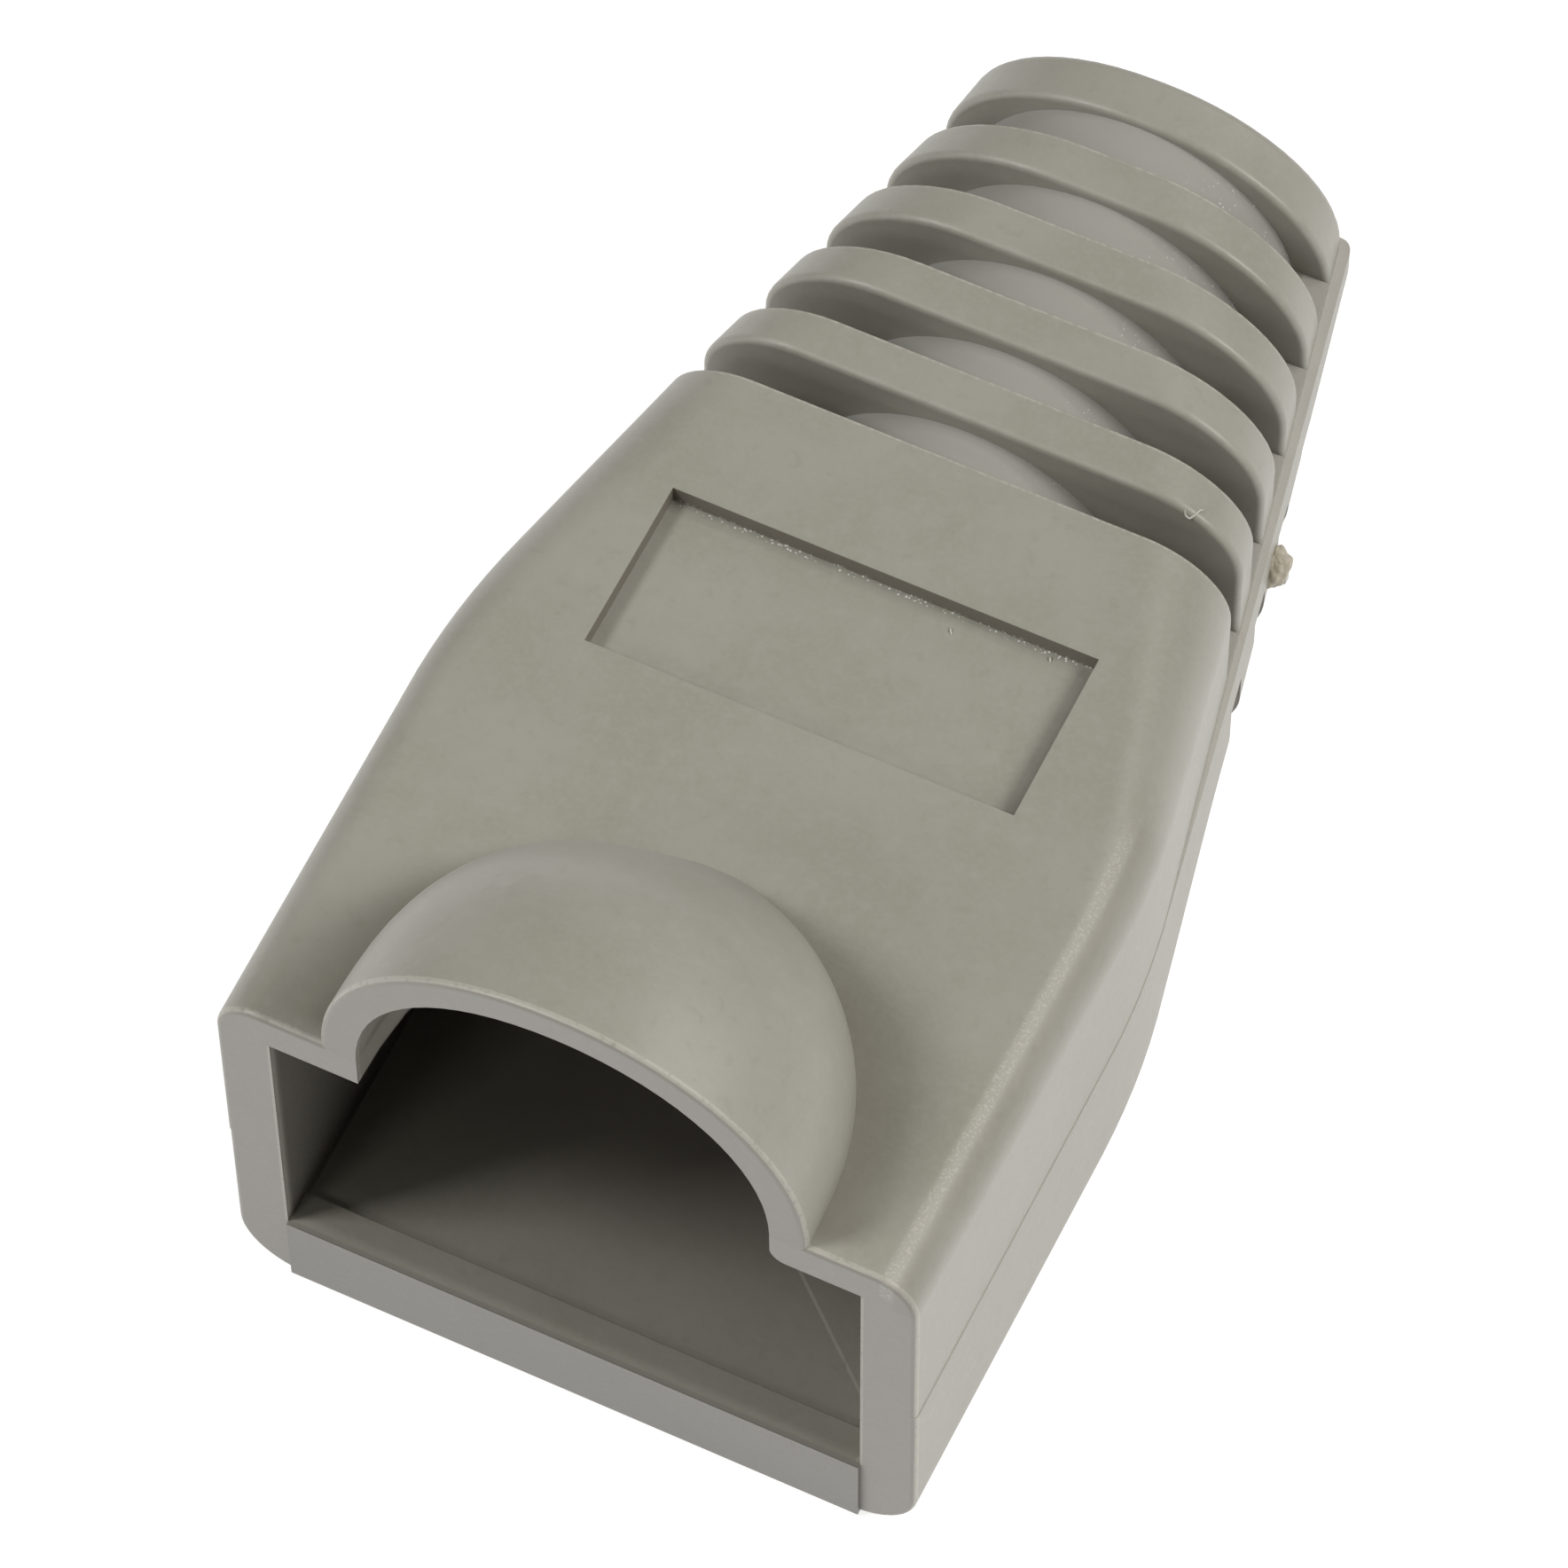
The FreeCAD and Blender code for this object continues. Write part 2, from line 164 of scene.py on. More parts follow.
# soft PVC, warm grey, moulded with a fine satin grain
vinyl = {
    "colour": (0.314, 0.306, 0.262, 1.0),
    "darker": (0.290, 0.281, 0.236, 1.0),
    "paler": (0.342, 0.333, 0.292, 1.0),
    "coreTint": (0.322, 0.317, 0.292, 1.0),
    # painted shade on the mouth face and on the lip's front face
    "faceShadeTint": (0.258, 0.244, 0.224, 1.0),
    "lipShadeTint": (0.225, 0.216, 0.196, 1.0),
    # painted shade in the pocket and a painted shadow line behind the lip
    "pocketShadeTint": (0.098, 0.086, 0.076, 1.0),
    # pale marks (the scratch, the torn gate, the flash) and painted highlights on the rims and edges
    "paleMarkAndHighlightTint": (0.470, 0.455, 0.400, 1.0),
    # painted light on the parting step and on the slots' sills
    "paintedLightTint": (0.560, 0.545, 0.500, 1.0),
    # painted shade
    "paintedShade": (0.128, 0.106, 0.080, 1.0),
    # painted glints
    "glintTint": (0.78, 0.78, 0.74, 1.0),
    "cloudSize": 3.0 * mm, "waveDepth": 0.04 * mm,
    "fleckSize": 0.35 * mm, "fineSize": 0.05 * mm, "glintSize": 0.036 * mm,
    "grainSize": 0.11 * mm, "grainDepth": 0.0045 * mm,
    "roughness": 0.42, "coreRoughness": 0.22, "ior": 1.5,
    "sheen": 0.06, "sheenRoughness": 0.4,
    "scratch": ((3.1, 3.29), (5.6, 1.14)),  # from and to, across and along
    "torn": (9.36, 9.42),  # the gate's torn edges lie past this, measured across at the slope of the neck's side
    # how strongly each mark shows
    "faceShadeShare": 0.8, "lipShadeShare": 0.95, "rimHighlightShare": 0.6, "grooveShadowShare": 0.85, "scratchShare": 0.3,
    # painted shade in the pocket
    "pocketShadeShares": (0.3, 0.45, 0.4),  # just behind the lip, deeper in, more on the -X wall
    # of these, the label's walls and the +X top edge get painted shade and the slots' sills painted light
    "coreShare": 0.8, "wallShare": 0.7, "sillLightShare": 0.7, "edgeShadeShare": 0.13,
    # painted shade in the slots
    "slotShadeShares": (0.85, 0.55),  # at the middle and at the +X end of a slot
    # painted light on the parting step
    "stepLightShares": (0.8, 1.0),  # the parting step in front and on the neck
    # painted shade round the cover's foot
    "footShadeShares": (0.6, 0.3),  # -X and +X of the cover
    # painted highlights on the ribs' rear edges and on the +X top edge
    "rearHighlightShares": (0.15, 0.4), "edgeHighlightShares": (0.18, 0.5),  # the even part, the part in specks
}


# where a point of the boot lies, in millimetres from the mouth face, and the masks and noises that marks share
def layOut(tree):
    at = SimpleNamespace(place=tree.coordinate("Object"))
    at.lying = tree.split(tree.coordinate("Normal"))[2]
    at.x, y, at.z = (side * (1 / mm) for side in tree.split(at.place))
    at.y = y + boot["length"] / 2
    at.across = at.x.size()
    at.depth = boot["top"] - boot["roofFall"] * at.y - at.z  # how far under the roof
    height, climb, start = boot["parting"]
    at.level = at.z - height - (at.y - start).positive() * climb  # how far over the parting line
    axis, radius, bore = boot["core"]
    at.reach = (at.x * at.x + (at.z - axis) * (at.z - axis)).root()  # how far from the cable axis
    front, pitch = boot["neckStart"], boot["pitch"]
    at.past = (at.y - front + pitch / 2).math("WRAP", pitch, 0.0) - pitch / 2  # how far behind a slot's start
    slotsEnd = boot["ribs"][-1]
    at.neck = at.y.above(front - 0.24, front - 0.04) * (1 - at.y.above(slotsEnd + 0.24, slotsEnd + 0.44))
    at.core = at.reach.band(radius - 0.02, radius + 0.02, 0.02) * at.y.above(front - 0.14, front - 0.04)
    at.cloud = tree.noise(at.place, vinyl["cloudSize"], 2.0)
    at.fleck = tree.noise(at.place, vinyl["fleckSize"], 2.0, 0.6)
    at.grain = tree.noise(at.place, vinyl["grainSize"], 1.0)
    at.fine = tree.noise(at.place, vinyl["fineSize"], 0.0)
    return at


# the plain skin: wide clouds, then flecks, then grain
def plainColour(tree, at):
    colour = tree.mix(at.cloud.above(0.35, 0.68), vinyl["darker"], vinyl["paler"])
    colour = tree.mix(0.5, colour, vinyl["colour"])
    colour = tree.mix(at.fleck.above(0.5, 0.75) * 0.5, colour, vinyl["paler"])
    colour = tree.mix((1 - at.fleck.above(0.26, 0.44)) * 0.6, colour, vinyl["darker"])
    return tree.mix(at.grain.above(0.35, 0.75) * 0.35, colour, vinyl["paler"])


# the mouth: its face and the lip's front face in painted shade, darker and cooler, painted highlights on the rims,
# painted shade in the pocket, and a fine scratch
def mouthMarks(tree, at, colour):
    half, floor, ceiling, deep, lip = boot["pocket"]
    # painted shade: the mouth face and the lip's front face are painted darker and cooler
    face = 1 - at.y.above(0.01, 0.06)
    colour = tree.mix(face * vinyl["faceShadeShare"], colour, vinyl["faceShadeTint"])
    lipFace = 1 - at.y.above(-0.06, -0.03)
    colour = tree.mix(lipFace * vinyl["lipShadeShare"], colour, vinyl["lipShadeTint"])

    # painted highlight: the rims round the mouth and round the pocket are painted pale, where the light would catch
    # them
    inside = at.across.band(0.0, half - 0.125, 0.05) * at.z.band(floor - 0.3, ceiling - 0.06, 0.05)
    rim = at.y.band(0.045, 0.125, 0.02) * (1 - inside)
    inner = at.across.band(half, half + 0.045, 0.02) * at.y.band(-0.01, 0.02, 0.01)
    rim = rim + inner * at.z.band(floor + 0.25, ceiling - 0.06, 0.05) * 0.7
    colour = tree.mix(rim * at.grain.above(0.2, 0.5) * vinyl["rimHighlightShare"], colour, vinyl["paleMarkAndHighlightTint"])

    # painted shade in the pocket, darker the deeper it goes, with a painted shadow line in the corner behind the lip
    nearLip, deeper, wall = vinyl["pocketShadeShares"]
    hollow = at.across.band(0.0, half + 0.015, 0.02) * at.z.band(floor - 0.02, ceiling + 0.02, 0.02)
    hollow = hollow * (1 - at.y.above(deep, deep + 0.2))
    shade = at.y.above(0.05, 0.3) * nearLip + at.y.above(0.3, 5.0) * deeper
    shade = shade + (1 - at.x.above(0.025 - half, 0.075 - half)) * at.y.above(0.1, 0.3) * wall
    colour = tree.mix((hollow * shade).clip(), colour, vinyl["pocketShadeTint"])
    onFloor = at.z.band(floor - 0.05, floor + 0.05, 0.02)
    groove = at.y.band(lip + 0.01, lip + 0.04, 0.012) * onFloor * at.across.band(0.0, half + 0.005, 0.01)
    colour = tree.mix(groove * vinyl["grooveShadowShare"], colour, vinyl["pocketShadeTint"])

    # a fine scratch across the pocket floor
    (fromX, fromY), (toX, toY) = vinyl["scratch"]
    run = math.hypot(toX - fromX, toY - fromY)
    off = (at.x - fromX) * ((fromY - toY) / run) + (at.y - fromY) * ((toX - fromX) / run)
    scratch = off.band(-0.02, 0.02, 0.02) * at.x.band(fromX, toX, 0.3) * onFloor * at.fleck.above(0.2, 0.4)
    return tree.mix(scratch * vinyl["scratchShare"], colour, vinyl["paleMarkAndHighlightTint"])


# the round core was drawn by the core pin: cooler. The slots' walls and the label's walls get painted shade: darker
# and browner. The slots' sills get painted light: paler
def neckMarks(tree, at, colour):
    colour = tree.mix(at.core * vinyl["coreShare"], colour, vinyl["coreTint"])
    width, sillHeight, radius = boot["slotWidth"], boot["sill"], boot["core"][1]
    # painted shade on the slots' walls, less towards the +X end, and on the label's walls
    slot = at.past.band(-0.004, width + 0.008, 0.006) * at.neck * at.depth.above(0.1, 0.5)
    slot = slot * at.reach.above(radius + 0.02, radius + 0.17) * at.level.above(sillHeight + 0.05, sillHeight + 0.35)
    middle, side = vinyl["slotShadeShares"]
    start, length, half, drop = boot["label"]
    end = start + length
    wall = at.depth.band(0.03, drop - 0.02, 0.02) * at.y.band(start + 0.01, end + 0.01, 0.01)
    wall = wall * (1 - at.across.above(half, half + 0.01))
    paintedShade = slot * (middle - at.x.above(0.0, 5.0) * (middle - side)) + wall * vinyl["wallShare"]
    colour = tree.mix(paintedShade, colour, vinyl["paintedShade"])
    # painted light: the slots' sills are painted paler
    sill = at.past.band(0.0, width, 0.01) * at.neck * at.level.band(sillHeight - 0.03, sillHeight + 0.03, 0.02)
    sill = sill * at.reach.above(radius + 0.17, radius + 0.27) * at.lying.above(0.7, 0.9)
    return tree.mix(sill * vinyl["sillLightShare"], colour, vinyl["paintedLightTint"])


# painted light on the parting step, the pale torn edges of the gate, painted highlights on edges, and painted shade
# beside the cover's foot and the +X top edge
def edgeMarks(tree, at, colour):
    # painted light on the tiny step at the parting line, and the pale torn edges of the gate
    front, behind = vinyl["stepLightShares"]
    step = at.level.band(-0.05, 0.05, 0.03) * at.across.above(3.4, 3.5) * at.lying.above(0.7, 0.9)
    colour = tree.mix(step * (front + at.y.above(9.0, 16.0) * (behind - front)), colour, vinyl["paintedLightTint"])
    torn = (at.x + at.y * boot["taper"]).above(*vinyl["torn"])
    torn = torn * at.y.band(17.0, 22.0, 0.1) * at.z.band(2.5, 4.7, 0.1)
    colour = tree.mix(torn, colour, vinyl["paleMarkAndHighlightTint"])

    # painted shade in the corner round the foot of the cover, fading with the distance from it
    half, height, length = boot["cover"]
    one, two = boot["narrowing"]
    foot = (1 - (at.y / length).clip() ** one) ** two * half
    left, right = vinyl["footShadeShares"]
    footShade = (1 - (at.across - foot).above(-0.1, 1.25)) * at.depth.band(-0.05, 0.12, 0.05)
    footShade = footShade * (1 - at.y.above(4.5, 6.6)) * at.y.above(0.1, 0.6)
    colour = tree.mix(footShade * (left - at.x.above(-6.0, -3.0) * (left - right)), colour, vinyl["paintedShade"])

    # painted highlights on the sharp rear edges of the ribs, broken into specks
    even, specks = vinyl["rearHighlightShares"]
    rear = at.past.band(-0.035, -0.012, 0.02) * at.neck * at.z.above(6.0, 6.4) * (1 - at.depth.above(2.0, 2.4))
    colour = tree.mix(rear * (even + at.grain.above(0.4, 0.6) * specks), colour, vinyl["paleMarkAndHighlightTint"])

    # the +X top edge: a painted highlight a little way in from the side, and painted shade outside it
    even, specks = vinyl["edgeHighlightShares"]
    curve = (boot["bulge"] + boot["taper"]) / (2 * boot["bendLength"])
    side = boot["halfWidth"] + boot["bulge"] * at.y - (at.y - boot["bendStart"]).positive() ** 2 * curve
    inward = side - at.x
    edgeHighlight = inward.band(0.53, 0.68, 0.10) * at.y.band(0.25, 10.2, 0.8) * (1 - at.depth.above(0.5, 0.7))
    colour = tree.mix(edgeHighlight * (even + at.fine.above(0.52, 0.72) * specks), colour, vinyl["paleMarkAndHighlightTint"])
    under = inward.band(0.12, 0.38, 0.12) * at.y.band(0.25, 10.5, 0.8) * at.depth.band(0.05, 0.9, 0.1)
    return tree.mix(under * vinyl["edgeShadeShare"], colour, vinyl["paintedShade"])


# painted glints: bright specks where the label floor meets its rear wall, on the core, and a very few all over
def glintMarks(tree, at, colour):
    start, length, half, drop = boot["label"]
    end = start + length
    corner = at.y.band(end - 0.09, end - 0.005, 0.015) * at.depth.band(drop - 0.05, drop + 0.02, 0.02)
    corner = corner * (1 - at.across.above(half - 0.03, half)) * at.fleck.above(0.34, 0.46)
    sparse = (at.x.above(0.6, 2.4) * at.core + 0.02) * at.fine.above(0.56, 0.62) * at.fleck.above(0.45, 0.6)
    glintMask = tree.dots(at.place, vinyl["glintSize"], 0.8, 0.42) * (corner + sparse * 0.8)
    return tree.mix(glintMask.clip(), colour, vinyl["glintTint"])


def makeVinyl():
    tree = Tree("softVinyl")
    at = layOut(tree)
    colour = plainColour(tree, at)
    colour = mouthMarks(tree, at, colour)
    colour = neckMarks(tree, at, colour)
    colour = edgeMarks(tree, at, colour)
    colour = glintMarks(tree, at, colour)
    wave = tree.bump(at.cloud, vinyl["waveDepth"], 0.5)
    rough = vinyl["roughness"] + (at.cloud - 0.5) * 0.08 + (at.grain - 0.5) * 0.16 + at.core * vinyl["coreRoughness"]
    return tree.surface({
        "Base Color": colour, "Roughness": rough, "Normal": tree.bump(at.grain, vinyl["grainDepth"], 0.8, wave),
        "IOR": vinyl["ior"], "Sheen Weight": vinyl["sheen"], "Sheen Roughness": vinyl["sheenRoughness"],
    })


# a line along y with one slope, then a round bend, then another slope
def bentLine(y, start, slopeOne, slopeTwo, bendStart, bendLength):
    inside = np.clip(y - bendStart, 0, bendLength)
    turn = slopeTwo - slopeOne
    return start + slopeOne * y + turn * (inside ** 2 / (2 * bendLength) + np.maximum(y - bendStart - bendLength, 0))


def roofLine(y):
    return boot["top"] - boot["roofFall"] * y


def partingLine(y):
    height, climb, start = boot["parting"]
    return height + climb * np.maximum(y - start, 0)


# the underside: flat, then a soft rise to the neck, where it mirrors the roof in the cable axis
def floorLine(y):
    way = np.clip((y - boot["floorRise"]) / (boot["neckStart"] - boot["floorRise"]), 0, 1)
    return way * way * (3 - 2 * way) * (2 * boot["core"][0] - roofLine(y))


# how far a softened end pulls the outline in: a quarter circle of the given radius, at either end of y
def softEnd(y, end, radius, leading):
    depth = np.clip((y - end) if leading else (end - y), 0, radius)
    return radius - np.sqrt(radius ** 2 - (radius - depth) ** 2)


# outside of the body: a box whose corners are quarter ovals; 0 on the skin, positive outside
def bodyForm(p, upper, ribbed):
    x, y, z = p.T
    inset = softEnd(y, 0.0, boot["rim"], True) + softEnd(y, boot["length"], boot["tail"], False)
    if ribbed:
        for start in boot["ribs"]:
            near = (y > start - 0.001) & (y < start + boot["nose"])
            inset = inset + np.where(near, softEnd(y, start, boot["nose"], True), 0.0)
    side = bentLine(y, boot["halfWidth"], boot["bulge"], -boot["taper"], boot["bendStart"], boot["bendLength"])
    wall = roofLine(y) - partingLine(y) if upper else partingLine(y) - floorLine(y)
    sizes = (boot["topAcross"], boot["topUp"]) if upper else (boot["lowAcross"], boot["lowUp"])
    across = np.minimum(np.interp(y, boot["stations"], sizes[0]), boot["wallShare"] * side) - inset
    up = np.minimum(np.interp(y, boot["stations"], sizes[1]), boot["wallShare"] * wall) - inset
    if upper:
        high = z - (roofLine(y) - inset) + up
    else:
        high = floorLine(y) + inset - z + up
        x = x - np.interp(y, *boot["mismatch"])
    wide = np.abs(x) - side + inset + across
    return np.hypot(np.maximum(wide, 0) / across, np.maximum(high, 0) / up) - 1


# the shares of its width and height that the cover has left, at y along its length
def coverShare(y, length):
    share = np.clip(y / length, 0, 0.999)
    (one, two), (three, four) = boot["narrowing"], boot["lowering"]
    return (1 - share ** one) ** two, (1 - share ** three) ** four


# the domed cover: arches (x / half) ^ n + (z / rise) ^ n = 1 that shrink and sink towards the rear
def coverForm(p, size):
    x, y, z = p.T
    half, height, length = size
    narrow, lower = coverShare(y, length)
    rise = (height + boot["coverSink"]) * lower - boot["coverSink"]
    spring = roofLine(y) + np.minimum(rise, 0) - boot["coverSpring"]
    rise = np.maximum(rise, 0) + boot["coverSpring"]
    power = boot["coverPower"]
    return ((np.abs(x) / (half * narrow)) ** power + (np.maximum(z - spring, 0) / rise) ** power) ** (1 / power) - 1


# the rounded inner foot of the cover, on the +X side of its hollow: a circle that follows the hollow's edge
def footForm(p):
    x, y, z = p.T
    half, height, length = boot["coverSpace"]
    narrow, lower = coverShare(y, length)
    ceiling = roofLine(y) - boot["roofWall"]
    return np.hypot(x - half * narrow - boot["foot"], z - ceiling - boot["foot"]) / boot["foot"] - 1


# a round tube on the cable axis
def tubeForm(p, radius):
    return np.hypot(p[:, 0], p[:, 2] - boot["core"][0]) / radius - 1


# slope of a form by small steps, and the distance from its skin
def gradient(form, points):
    step = matching["step"]
    value = form(points)
    slope = np.stack([(form(points + offset) - form(points - offset)) / (2 * step)
                      for offset in np.eye(3) * step], 1)
    size = np.linalg.norm(slope, axis=1) + matching["tiny"]
    return slope / size[:, None], np.abs(value) / size


# one normal for each corner of each triangle: the flat one, or the slope of the form that the triangle lies on
def trueNormals(points, corners):
    a, b, c = (points[corners[:, side]] for side in range(3))
    flat = np.cross(b - a, c - a)
    flat /= np.linalg.norm(flat, axis=1)[:, None] + matching["tiny"]
    x, y, z = ((a + b + c) / 3).T
    above = z > partingLine(y)
    neck = y > boot["neckStart"]
    front = y < boot["cover"][2] + 1
    byFoot = (z > boot["footHeight"][0]) & (z < boot["footHeight"][1]) & (x > 0)
    axis, coreRadius, boreRadius = boot["core"]
    forms = [
        (lambda p: bodyForm(p, True, False), above & ~neck),
        (lambda p: bodyForm(p, True, True), above & neck),
        (lambda p: bodyForm(p, False, False), ~above),
        (lambda p: coverForm(p, boot["cover"]), above & front),
        (lambda p: coverForm(p, boot["coverSpace"]), above & front),
        (footForm, above & front & byFoot),
        (lambda p: tubeForm(p, coreRadius), neck),
        (lambda p: tubeForm(p, boreRadius), y > boot["boreFrom"]),
    ]
    normals = np.repeat(flat[:, None, :], 3, axis=1)
    best = np.full(len(corners), matching["facing"])
    for form, where in forms:
        slope, distance = gradient(form, points)
        facing = np.einsum("ij,ij->i", slope[corners].mean(1), flat)
        match = where & (distance[corners].max(1) < matching["near"]) & (np.abs(facing) > best)
        best[match] = np.abs(facing[match])
        normals[match] = slope[corners[match]] * np.sign(facing[match])[:, None, None]
    return normals


# the moulded form itself: a merged copy of the frame's mesh, with the true normals of its curved skins
def makeBoot(material):
    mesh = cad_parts[boot["node"]].data.copy()
    mesh.name = "mouldedBoot"
    piece = bpy.data.objects.new("mouldedBoot", mesh)
    bpy.context.scene.collection.objects.link(piece)
    work = bmesh.new()
    work.from_mesh(mesh)
    bmesh.ops.remove_doubles(work, verts=work.verts, dist=matching["weld"])
    bmesh.ops.triangulate(work, faces=work.faces)
    work.to_mesh(mesh)
    work.free()
    points = np.zeros(len(mesh.vertices) * 3)
    mesh.vertices.foreach_get("co", points)
    points = points.reshape(-1, 3) / mm + (0, boot["length"] / 2, 0)
    corners = np.zeros(len(mesh.loops), int)
    mesh.loops.foreach_get("vertex_index", corners)
    mesh.shade_smooth()
    mesh.normals_split_custom_set(trueNormals(points, corners.reshape(-1, 3)).reshape(-1, 3).tolist())
    mesh.materials.clear()
    mesh.materials.append(material)
    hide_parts(boot["node"])
    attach(piece, "root")
    return piece


made = makeBoot(makeVinyl())
print("boot made", len(made.data.polygons), "faces")


# closes a skin of rings, rows by columns, with one point at each end; places in millimetres from the mouth face.
# Gives points in metres and faces
def closeSkin(skin, first, last):
    rows, cols = skin.shape[:2]
    row, col = np.meshgrid(np.arange(rows - 1), np.arange(cols), indexing="ij")
    after = (col + 1) % cols
    quads = np.stack([row * cols + col, (row + 1) * cols + col, (row + 1) * cols + after, row * cols + after], -1)
    col = np.arange(cols)
    after = (col + 1) % cols
    head = np.stack([np.full(cols, rows * cols), col, after], -1)
    foot = np.stack([np.full(cols, rows * cols + 1), (rows - 1) * cols + after, (rows - 1) * cols + col], -1)
    points = (np.concatenate([skin.reshape(-1, 3), [first, last]]) - (0, boot["length"] / 2, 0)) * mm
    return points, quads.reshape(-1, 4).tolist() + head.tolist() + foot.tolist()


# what the mould left behind: fine hairs of flash, each a thin tube along its points, millimetres from the mouth
flash = {
    "radius": 0.022, "around": 10, "along": 24,
    "hairs": [
        [(4.39, 17.46, 8.99), (4.44, 17.38, 8.90), (4.53, 17.37, 8.86), (4.60, 17.46, 8.90), (4.64, 17.58, 8.93),
         (4.70, 17.66, 8.87)],  # a curl on the first rib
        [(1.50, 13.30, 8.885), (1.53, 13.22, 8.925), (1.60, 13.13, 8.895)],  # two on the label floor
        [(3.44, 13.53, 8.88), (3.46, 13.45, 8.925), (3.50, 13.37, 8.885)],
    ],
    "smoothing": 8, "across": (0.3, 0.2, 1.0), "pointed": 0.4,
    "colour": (0.52, 0.51, 0.46, 1.0), "roughness": 0.35, "ior": 1.5,
    "cloudSize": 0.06 * mm, "bumpDepth": 0.01 * mm,
}


# a closed tube: centre line c(t) through the points, radius falling to zero at both ends as sin(pi t) ^ pointed,
# skin = c(t) + r(t) * (cos(a) * n + sin(a) * b), with n and b across the line
def hairMesh(points):
    points = np.array(points)
    knots = np.linspace(0, 1, len(points))
    t = np.linspace(0, 1, flash["along"])
    reach = flash["smoothing"]
    dense = np.linspace(0, 1, reach * flash["along"])
    window = np.ones(2 * reach + 1) / (2 * reach + 1)
    soft = [np.convolve(np.pad(np.interp(dense, knots, side), reach, "edge"), window, "valid") for side in points.T]
    line = np.stack([np.interp(t, dense, side) for side in soft], 1)
    way = np.gradient(line, axis=0)
    way /= np.linalg.norm(way, axis=1)[:, None]
    across = np.cross(way, flash["across"])
    across /= np.linalg.norm(across, axis=1)[:, None]
    other = np.cross(way, across)
    radius = flash["radius"] * np.sin(np.pi * np.clip(t, 0.002, 0.998)) ** flash["pointed"]
    turn = np.arange(flash["around"]) * 2 * np.pi / flash["around"]
    ring = np.cos(turn)[None, :, None] * across[:, None] + np.sin(turn)[None, :, None] * other[:, None]
    skin = (line[:, None] + radius[:, None, None] * ring)[1:-1]
    return closeSkin(skin, line[0], line[-1])


def makeFlash():
    points, faces, count = [], [], 0
    for hair in flash["hairs"]:
        place, sides = hairMesh(hair)
        points.append(place)
        faces += [[corner + count for corner in side] for side in sides]
        count += len(place)
    mesh = bpy.data.meshes.new("flashHairs")
    mesh.from_pydata(np.concatenate(points).tolist(), [], faces)
    work = bmesh.new()
    work.from_mesh(mesh)
    bmesh.ops.recalc_face_normals(work, faces=work.faces)
    work.to_mesh(mesh)
    work.free()
    mesh.shade_smooth()
    made = bpy.data.objects.new("flashHairs", mesh)
    bpy.context.scene.collection.objects.link(made)
    tree = Tree("thinFlash")
    cloud = tree.noise(tree.coordinate("Object"), flash["cloudSize"], 2.0)
    colour = tree.mix(cloud.above(0.3, 0.7) * 0.6, flash["colour"], vinyl["paleMarkAndHighlightTint"])
    mesh.materials.append(tree.surface({
        "Base Color": colour, "Roughness": flash["roughness"] + (cloud - 0.5) * 0.2,
        "Normal": tree.bump(cloud, flash["bumpDepth"], 0.6), "IOR": flash["ior"],
    }))
    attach(made, "root")
    return made


# the torn end of the moulding gate: a lumpy pebble over the stub on the neck
gate = {
    "middle": (5.37, 19.86, 4.06), "size": (0.33, 0.40, 0.40), "grid": (40, 64),
    # how many along, how many round, height, turn
    "lumps": [(2, 3, 0.13, 0.4), (3, 5, 0.09, 2.1), (5, 7, 0.05, 4.4), (7, 11, 0.03, 1.3)],
    "colour": (0.46, 0.43, 0.345, 1.0), "darker": (0.36, 0.325, 0.245, 1.0), "roughness": 0.55, "ior": 1.5,
    "ragSize": 0.12 * mm, "ragDepth": 0.02 * mm,
}


# pebble skin = middle + size * (1 + lumps) * (sin u cos v, sin u sin v, cos u), where lumps is the sum of
# height * sin(along * u + turn) * cos(round * v + turn), faded to nothing at the two poles
def makeGate():
    rows, cols = gate["grid"]
    u = np.linspace(0, np.pi, rows)[1:-1, None]
    v = (np.arange(cols) * 2 * np.pi / cols)[None]
    lumps = sum(height * np.sin(along * u + turn) * np.cos(around * v + turn)
                for along, around, height, turn in gate["lumps"]) * np.sin(u)
    ball = np.stack([np.sin(u) * np.cos(v), np.sin(u) * np.sin(v), np.cos(u) * np.ones_like(v)], -1)
    middle, size = np.array(gate["middle"]), np.array(gate["size"])
    skin = middle + size * ball * (1 + lumps)[..., None]
    points, faces = closeSkin(skin, middle + size * (0, 0, 1), middle - size * (0, 0, 1))
    mesh = bpy.data.meshes.new("gateTear")
    mesh.from_pydata(points.tolist(), [], faces)
    mesh.shade_smooth()
    made = bpy.data.objects.new("gateTear", mesh)
    bpy.context.scene.collection.objects.link(made)
    tree = Tree("tornGate")
    rag = tree.noise(tree.coordinate("Object"), gate["ragSize"], 4.0, 0.65)
    mesh.materials.append(tree.surface({
        "Base Color": tree.mix(rag.above(0.35, 0.65), gate["darker"], gate["colour"]),
        "Roughness": gate["roughness"] + (rag - 0.5) * 0.3,
        "Normal": tree.bump(rag, gate["ragDepth"], 0.6), "IOR": gate["ior"],
    }))
    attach(made, "root")
    return made


made = makeGate()
print("torn gate made", len(made.data.polygons), "faces")
made = makeFlash()
print("flash made", len(made.data.polygons), "faces")


# a long lens from above and to the right of the mouth
camera = {
    "target": (-1.089 * mm, -1.639 * mm, 4.0 * mm),
    "distance": 177.28 * mm,
    "azimuth": 25.933,
    "elevation": 59.897,
    "roll": -0.516,
    "lens": 214.17, "sensor": 36.0,
    "nearest": 1 * mm, "farthest": 10.0,
}


# the unit vector towards a place at an azimuth and elevation in radians, azimuth 0 being in front of the mouth
def towards(turn, lift):
    return Vector((math.sin(turn) * math.cos(lift), -math.cos(turn) * math.cos(lift), math.sin(lift)))


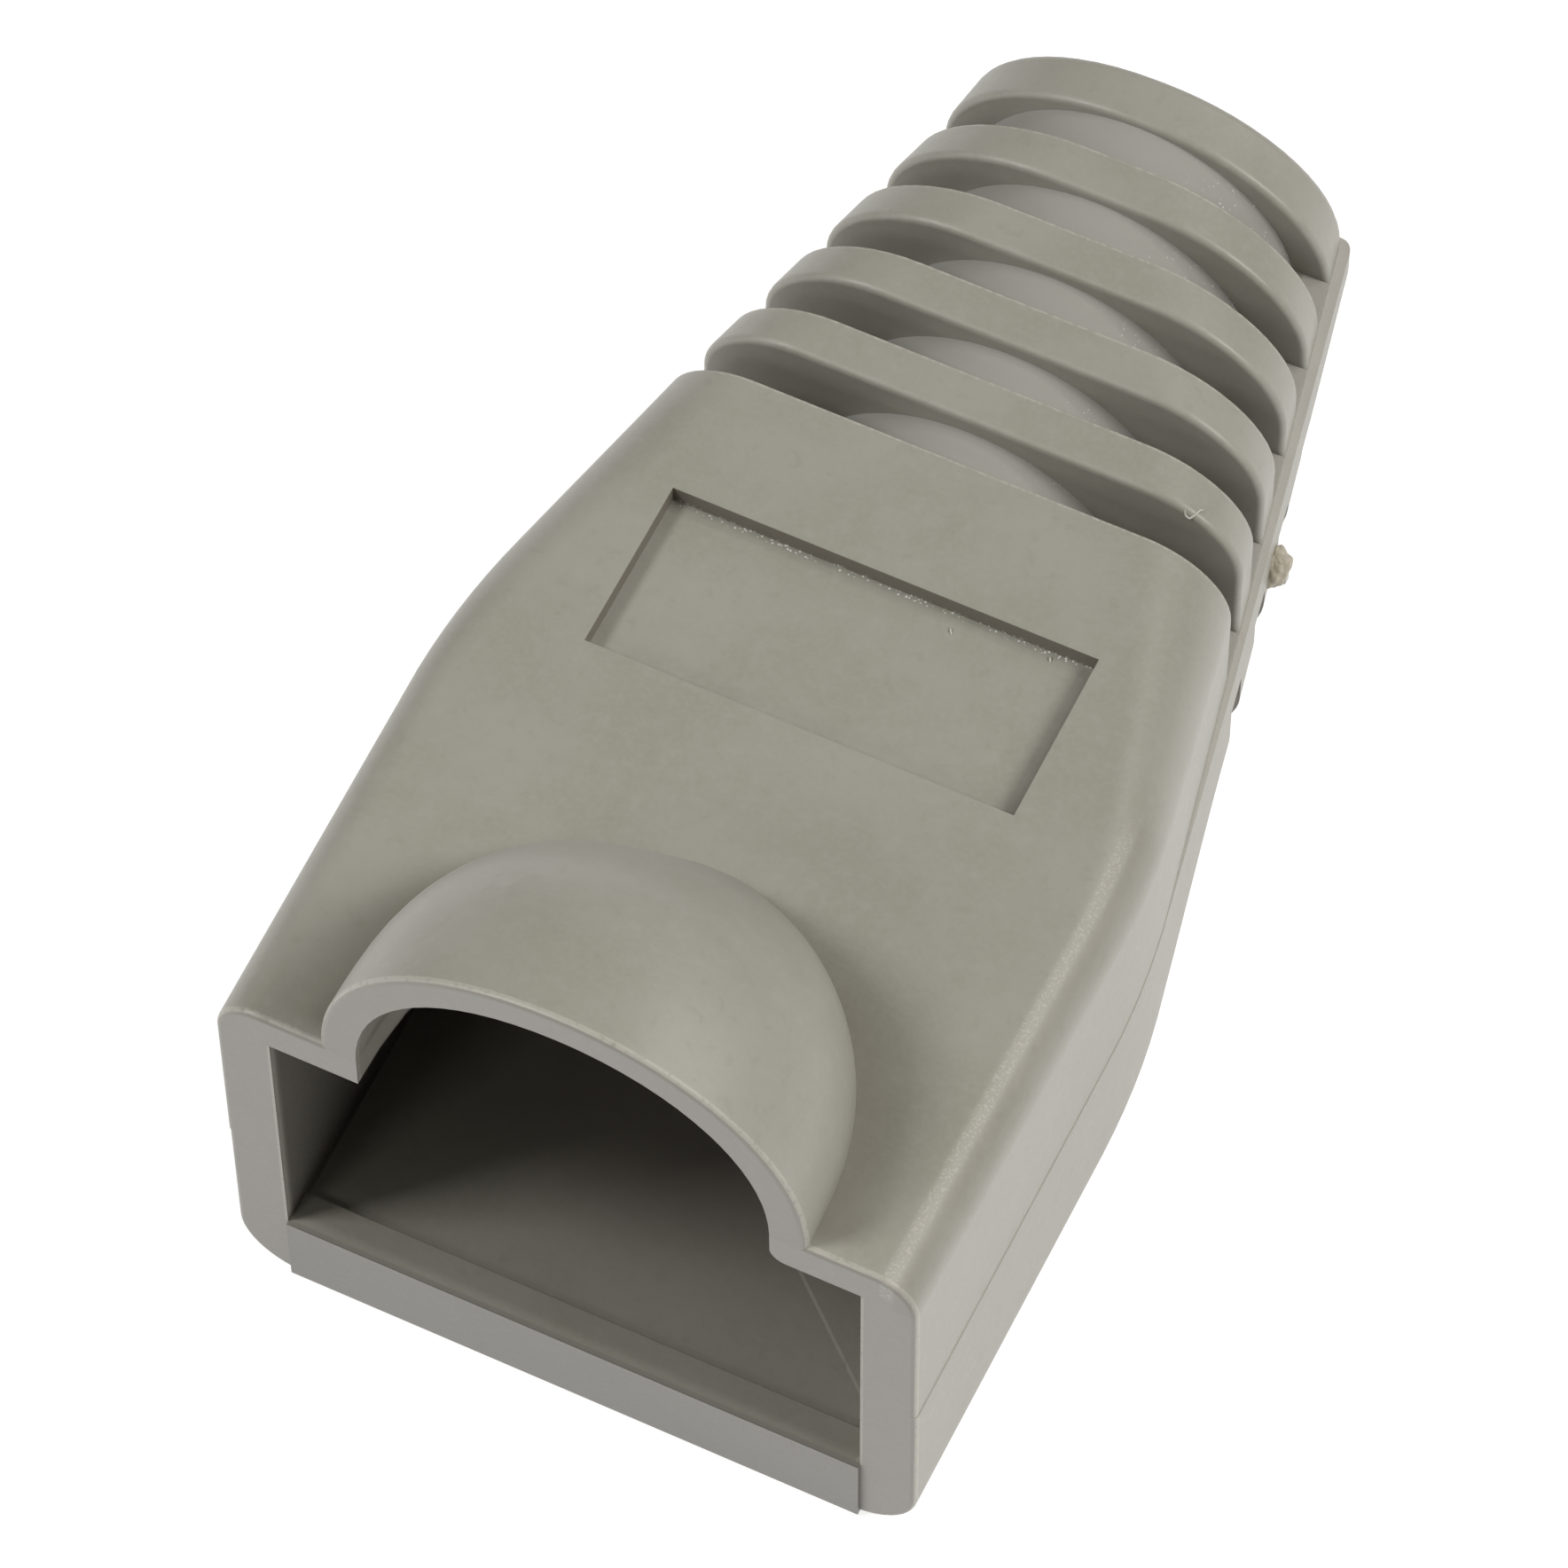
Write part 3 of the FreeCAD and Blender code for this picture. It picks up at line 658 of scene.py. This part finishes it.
def makeCamera():
    turn, lift, roll = (math.radians(camera[name]) for name in ("azimuth", "elevation", "roll"))
    back = towards(turn, lift)
    level = Vector((math.cos(turn), math.sin(turn), 0.0))
    up = level.cross(-back)
    right = level * math.cos(roll) + up * math.sin(roll)
    up = up * math.cos(roll) - level * math.sin(roll)
    data = bpy.data.cameras.new("camera")
    data.lens = camera["lens"]
    data.sensor_width = camera["sensor"]
    data.clip_start = camera["nearest"]
    data.clip_end = camera["farthest"]
    made = bpy.data.objects.new("camera", data)
    bpy.context.scene.collection.objects.link(made)
    place = Matrix((right, up, back)).transposed().to_4x4()
    place.translation = Vector(camera["target"]) + back * camera["distance"]
    made.matrix_world = place
    bpy.context.scene.camera = made


makeCamera()

studio = {
    "floorColour": (0.4, 0.4, 0.4, 1.0), "floorGlow": 0.78, "floorRoughness": 0.9,
    "floorHalf": 1.5, "floorDrop": 0.02 * mm,
    "white": (1.0, 1.0, 1.0, 1.0), "world": 0.02,
    "lampDistance": 260 * mm,
    "lamps": [  # azimuth, elevation, size, watts, colour
        (100.0, 47.0, 80 * mm, 0.255, (1.0, 0.97, 0.95)),
        (100.0, 42.0, 160 * mm, 0.18, (1.0, 0.97, 0.955)),
        (-53.0, 51.0, 60 * mm, 0.27, (1.0, 0.99, 0.97)),
        (-50.0, 12.0, 160 * mm, 0.09, (0.98, 0.98, 1.0)),
        (-85.0, 40.0, 160 * mm, 0.04, (1.0, 1.0, 1.0)),
        (180.0, 30.0, 160 * mm, 0.07, (1.0, 1.0, 1.0)),
        (145.0, 53.0, 34 * mm, 0.065, (1.0, 0.97, 0.90)),
        (-18.0, 38.0, 50 * mm, 0.05, (1.0, 0.97, 0.90)),
    ],
}


def makeLamps():
    for index, (turn, lift, size, watts, colour) in enumerate(studio["lamps"]):
        data = bpy.data.lights.new("lamp%d" % index, "AREA")
        data.shape = "SQUARE"
        data.size = size
        data.energy = watts
        data.color = colour
        lamp = bpy.data.objects.new("lamp%d" % index, data)
        bpy.context.scene.collection.objects.link(lamp)
        back = towards(math.radians(turn), math.radians(lift))
        place = Matrix.Translation(back * studio["lampDistance"])
        lamp.matrix_world = place @ back.to_track_quat("Z", "Y").to_matrix().to_4x4()


# the floor glows a little, so that it stays white under soft light
def makeFloor():
    mesh = bpy.data.meshes.new("floor")
    half = studio["floorHalf"]
    mesh.from_pydata([(-half, -half, 0), (half, -half, 0), (half, half, 0), (-half, half, 0)], [], [(0, 1, 2, 3)])
    floor = bpy.data.objects.new("floor", mesh)
    floor.location.z = -studio["floorDrop"]
    bpy.context.scene.collection.objects.link(floor)
    mesh.materials.append(Tree("paleFloor").surface({
        "Base Color": studio["floorColour"], "Roughness": studio["floorRoughness"], "Specular IOR Level": 0.0,
        "Emission Color": studio["white"], "Emission Strength": studio["floorGlow"],
    }))


def makeStudio():
    world = bpy.data.worlds.new("studio")
    world.use_nodes = True
    back = world.node_tree.nodes["Background"]
    back.inputs["Color"].default_value = studio["white"]
    back.inputs["Strength"].default_value = studio["world"]
    bpy.context.scene.world = world
    bpy.context.scene.view_settings.view_transform = "Standard"
    makeLamps()
    makeFloor()


makeStudio()
print("camera and studio made")
